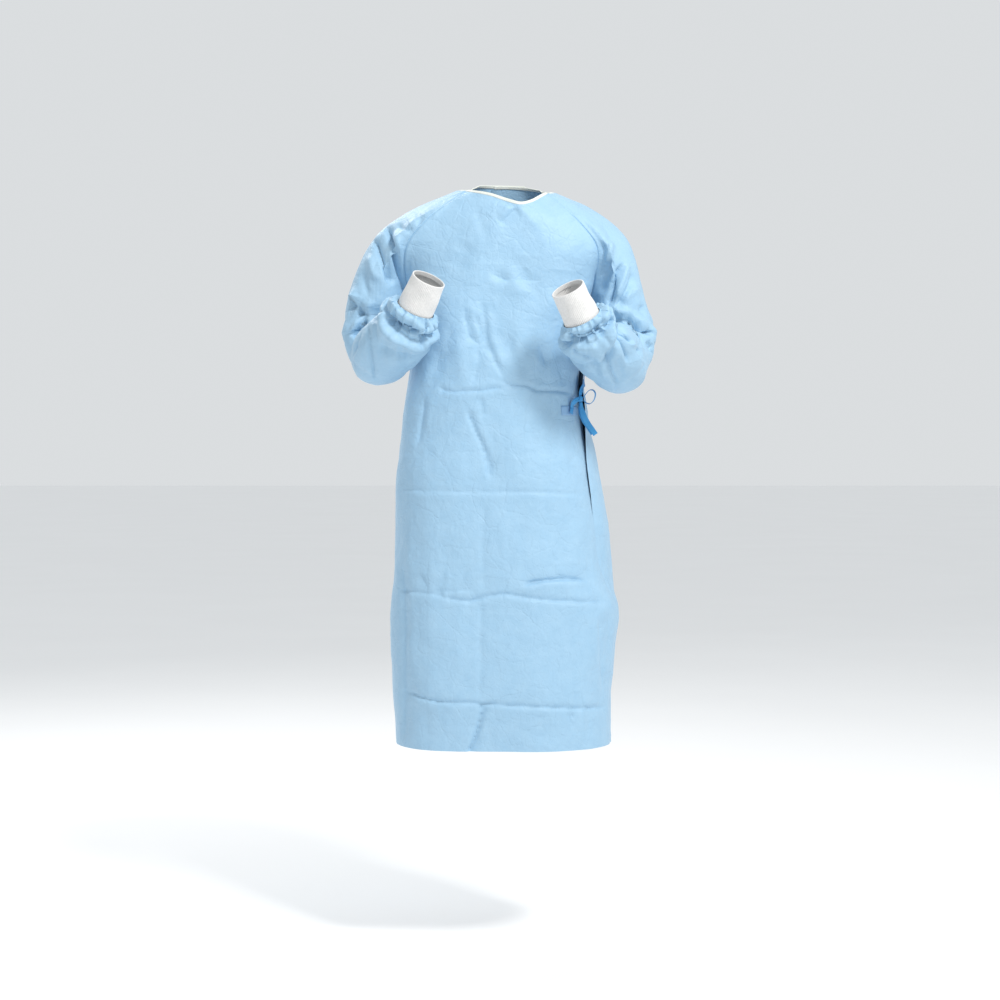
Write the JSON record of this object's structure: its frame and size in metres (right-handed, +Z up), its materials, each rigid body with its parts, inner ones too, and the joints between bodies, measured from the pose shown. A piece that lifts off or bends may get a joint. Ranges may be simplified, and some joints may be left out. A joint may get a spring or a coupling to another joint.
{
  "type": "surgical gown",
  "caption": "Long-sleeved wrap-over surgical gown of light blue non-woven cloth, with knit cuffs, a bound neck and a side tie, held in its worn form with both forearms raised.",
  "frame": {"origin": "middle of the neck opening at shoulder height, where the wearer's shoulders hold the gown", "axes": "+Z up along the body, -Y the way the wearer faces, +X toward the wearer's left side"},
  "size_m": [0.64, 0.4597, 1.1525],
  "materials": {
    "cloth": "soft satin non-woven",
    "knit": "matt rib knit",
    "binding": "matt",
    "tie_light": "matt",
    "tie": "matt"
  },
  "bodies": {
    "root": {"front_panel": "cloth", "back_panel_inner": "cloth", "back_panel_outer": "cloth", "sleeve_left": "cloth", "sleeve_right": "cloth", "cuff_left": "knit", "cuff_right": "knit", "neck_binding": "binding", "tie_tab": "tie_light", "tie_front": "tie", "tie_back": "tie", "tie_knot": "tie", "tie_loop": "tie", "tie_tail_long": "tie", "tie_tail_short": "tie"}
  },
  "joints": []
}
